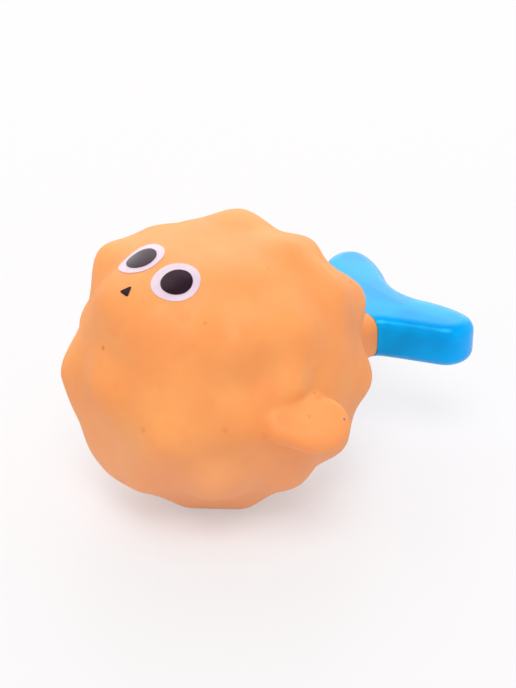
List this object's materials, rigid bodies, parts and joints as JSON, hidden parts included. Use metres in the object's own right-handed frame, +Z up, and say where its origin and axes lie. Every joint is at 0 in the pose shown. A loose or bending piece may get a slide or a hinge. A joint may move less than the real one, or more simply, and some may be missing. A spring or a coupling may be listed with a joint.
{
  "type": "squeaky bath toy",
  "caption": "Round, bumpy fish bath toy in soft vinyl with side flippers, a pushed-on glossy tail, a printed face and a reed squeaker plugged into its belly.",
  "frame": {"origin": "middle of the flat of the belly, on the surface the toy rests on", "axes": "-Y the way the fish looks, +X its left side, +Z up"},
  "size_m": [0.0932, 0.1031, 0.069],
  "materials": {
    "orange_vinyl": "soft matte",
    "blue_vinyl": "gloss",
    "white_print": "gloss",
    "black_print": "gloss",
    "white_polyethylene": "waxy",
    "reed_brass": "rolled"
  },
  "bodies": {
    "body": {"body_shell": "orange_vinyl", "squeaker_plug": "white_polyethylene", "reed_trough": "white_polyethylene", "reed_clamp": "white_polyethylene"},
    "tail": {"tail": "blue_vinyl"},
    "face": {"eye_white_left": "white_print", "eye_white_right": "white_print", "pupil_left": "black_print", "pupil_right": "black_print", "beak": "black_print"},
    "reed": {"reed": "reed_brass"}
  },
  "joints": [
    {"name": "tail_sink", "type": "slide", "parent": "body", "child": "tail", "axis": [0, 0, -1], "range_m": [0, 0.0056], "stiffness_N_per_m": 2500},
    {"name": "press", "type": "slide", "parent": "body", "child": "face", "axis": [0, 0, -1], "range_m": [0, 0.012], "stiffness_N_per_m": 30, "deforming": ["body_shell"]},
    {"name": "reed_flap", "type": "hinge", "parent": "body", "child": "reed", "pos_m": [0, 0.0003, 0.0054], "axis": [-1, 0, 0], "range_deg": [-2.5, 4], "stiffness_Nm_per_rad": 0.0001}
  ],
  "couplings": [
    {"joint": "press", "follows": "tail_sink", "ratio": 2.142}
  ]
}
